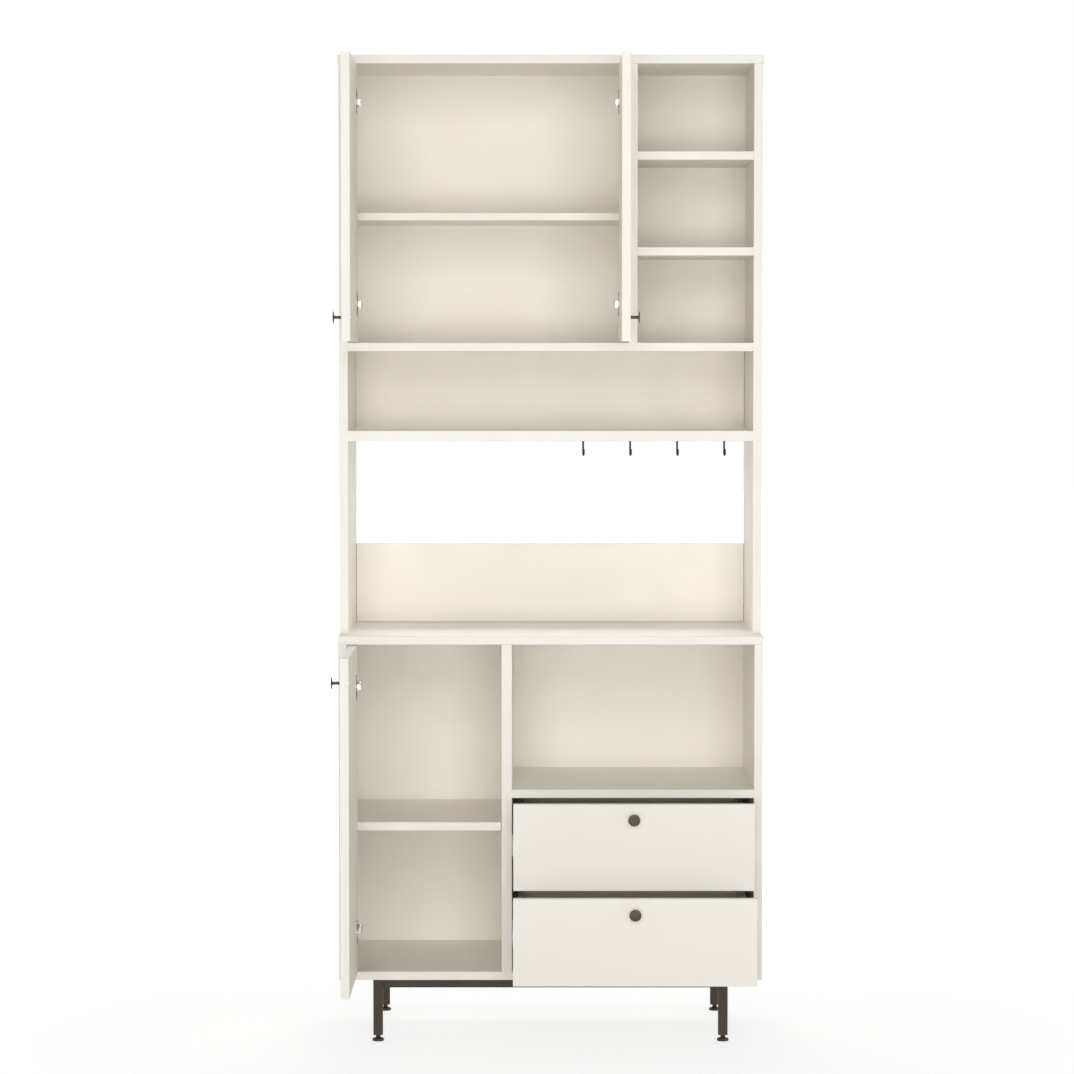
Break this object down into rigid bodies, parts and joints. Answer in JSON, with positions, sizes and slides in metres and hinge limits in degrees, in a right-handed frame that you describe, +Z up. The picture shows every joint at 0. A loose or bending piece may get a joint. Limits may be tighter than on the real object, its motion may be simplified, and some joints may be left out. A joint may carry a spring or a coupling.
{
  "type": "kitchen cabinet",
  "caption": "Tall freestanding kitchen buffet cabinet with hutch, hinged inset doors, telescopic drawers, open niches, hooks and a square-tube leg frame",
  "frame": {"origin": "on the floor, at the middle of the bounding box with the doors open and the drawers partly out", "axes": "+X to the right seen from the front, -Y to the front, +Z up"},
  "size_m": [0.904, 0.723, 2.1],
  "materials": {
    "cream_board": "satin cream lacquer on board",
    "drawer_board": "matt cream melamine board",
    "dark_steel": "matt dark brown powder coat",
    "black_metal": "satin black coat",
    "black_plastic": "moulded black plastic",
    "nickel": "nickel plate",
    "zinc": "bright zinc plate",
    "beech": "plain beech"
  },
  "bodies": {
    "carcass": {"base_side_left": "cream_board", "base_side_right": "cream_board", "base_floor": "cream_board", "base_divider": "cream_board", "niche_shelf": "cream_board", "base_shelf": "cream_board", "base_back": "cream_board", "worktop": "cream_board", "hutch_side_left": "cream_board", "hutch_side_right": "cream_board", "hutch_divider": "cream_board", "cupboard_floor": "cream_board", "cupboard_shelf": "cream_board", "column_shelf_lower": "cream_board", "column_shelf_upper": "cream_board", "top_panel": "cream_board", "hook_shelf": "cream_board", "splashback": "cream_board", "niche_back": "cream_board", "upper_back": "cream_board", "legs": "dark_steel", "frame_front_rail": "dark_steel", "frame_rear_rail": "dark_steel", "frame_side_rails": "dark_steel", "leg_plugs": "black_plastic", "hooks": "black_metal", "cam_locks": "nickel", "shelf_pins": "nickel", "dowels": "beech", "hinge_plates": "nickel", "hinge_arms": "nickel", "runner_cabinet_members": "zinc"},
    "door_upper_left": {"upper_left_door": "cream_board", "upper_left_hinge_cups": "nickel", "upper_left_knob": "black_metal"},
    "links_upper_left": {"upper_left_hinge_links": "nickel"},
    "door_upper_right": {"upper_right_door": "cream_board", "upper_right_hinge_cups": "nickel", "upper_right_knob": "black_metal"},
    "links_upper_right": {"upper_right_hinge_links": "nickel"},
    "door_base": {"base_door": "cream_board", "base_hinge_cups": "nickel", "base_knob": "black_metal"},
    "links_base": {"base_hinge_links": "nickel"},
    "drawer_upper": {"upper_drawer_front": "cream_board", "upper_drawer_box": "drawer_board", "upper_drawer_bottom": "drawer_board", "upper_drawer_knob": "black_metal", "upper_drawer_runner_members": "zinc"},
    "runner_middle_upper": {"upper_drawer_middle_members": "zinc"},
    "drawer_lower": {"lower_drawer_front": "cream_board", "lower_drawer_box": "drawer_board", "lower_drawer_bottom": "drawer_board", "lower_drawer_knob": "black_metal", "lower_drawer_runner_members": "zinc"},
    "runner_middle_lower": {"lower_drawer_middle_members": "zinc"},
    "levelling_foot_front_left": {"foot_front_left": "black_plastic"},
    "levelling_foot_front_right": {"foot_front_right": "black_plastic"},
    "levelling_foot_rear_left": {"foot_rear_left": "black_plastic"},
    "levelling_foot_rear_right": {"foot_rear_right": "black_plastic"}
  },
  "joints": [
    {"name": "swing_upper_left", "type": "hinge", "parent": "carcass", "child": "door_upper_left", "pos_m": [-0.4285, 0.031, 1.7865], "axis": [0, 0, -1], "range_deg": [-90, 0]},
    {"name": "link_turn_upper_left", "type": "hinge", "parent": "carcass", "child": "links_upper_left", "pos_m": [-0.40525, 0.056, 1.7865], "axis": [0, 0, -1], "range_deg": [-90, 0]},
    {"name": "swing_upper_right", "type": "hinge", "parent": "carcass", "child": "door_upper_right", "pos_m": [0.1635, 0.031, 1.7865], "axis": [0, 0, 1], "range_deg": [-90, 0]},
    {"name": "link_turn_upper_right", "type": "hinge", "parent": "carcass", "child": "links_upper_right", "pos_m": [0.14025, 0.056, 1.7865], "axis": [0, 0, 1], "range_deg": [-90, 0]},
    {"name": "swing_base", "type": "hinge", "parent": "carcass", "child": "door_base", "pos_m": [-0.4285, -0.039, 0.50325], "axis": [0, 0, -1], "range_deg": [-90, 0]},
    {"name": "link_turn_base", "type": "hinge", "parent": "carcass", "child": "links_base", "pos_m": [-0.40525, -0.014, 0.50325], "axis": [0, 0, -1], "range_deg": [-90, 0]},
    {"name": "slide_upper", "type": "slide", "parent": "carcass", "child": "drawer_upper", "axis": [0, -1, 0], "range_m": [-0.088, 0.212]},
    {"name": "runner_slide_upper", "type": "slide", "parent": "carcass", "child": "runner_middle_upper", "axis": [0, -1, 0], "range_m": [-0.044, 0.106]},
    {"name": "slide_lower", "type": "slide", "parent": "carcass", "child": "drawer_lower", "axis": [0, -1, 0], "range_m": [-0.183, 0.117]},
    {"name": "runner_slide_lower", "type": "slide", "parent": "carcass", "child": "runner_middle_lower", "axis": [0, -1, 0], "range_m": [-0.0915, 0.0585]},
    {"name": "foot_turn_front_left", "type": "hinge", "parent": "carcass", "child": "levelling_foot_front_left", "pos_m": [-0.3686, -0.0085, 0.018], "axis": [0, 0, 1], "continuous": true},
    {"name": "foot_turn_front_right", "type": "hinge", "parent": "carcass", "child": "levelling_foot_front_right", "pos_m": [0.3686, -0.0085, 0.018], "axis": [0, 0, 1], "continuous": true},
    {"name": "foot_turn_rear_left", "type": "hinge", "parent": "carcass", "child": "levelling_foot_rear_left", "pos_m": [-0.3686, 0.3315, 0.018], "axis": [0, 0, 1], "continuous": true},
    {"name": "foot_turn_rear_right", "type": "hinge", "parent": "carcass", "child": "levelling_foot_rear_right", "pos_m": [0.3686, 0.3315, 0.018], "axis": [0, 0, 1], "continuous": true}
  ],
  "couplings": [
    {"joint": "link_turn_upper_left", "follows": "swing_upper_left", "ratio": 1},
    {"joint": "link_turn_upper_right", "follows": "swing_upper_right", "ratio": 1},
    {"joint": "link_turn_base", "follows": "swing_base", "ratio": 1},
    {"joint": "runner_slide_upper", "follows": "slide_upper", "ratio": 0.5},
    {"joint": "runner_slide_lower", "follows": "slide_lower", "ratio": 0.5}
  ]
}
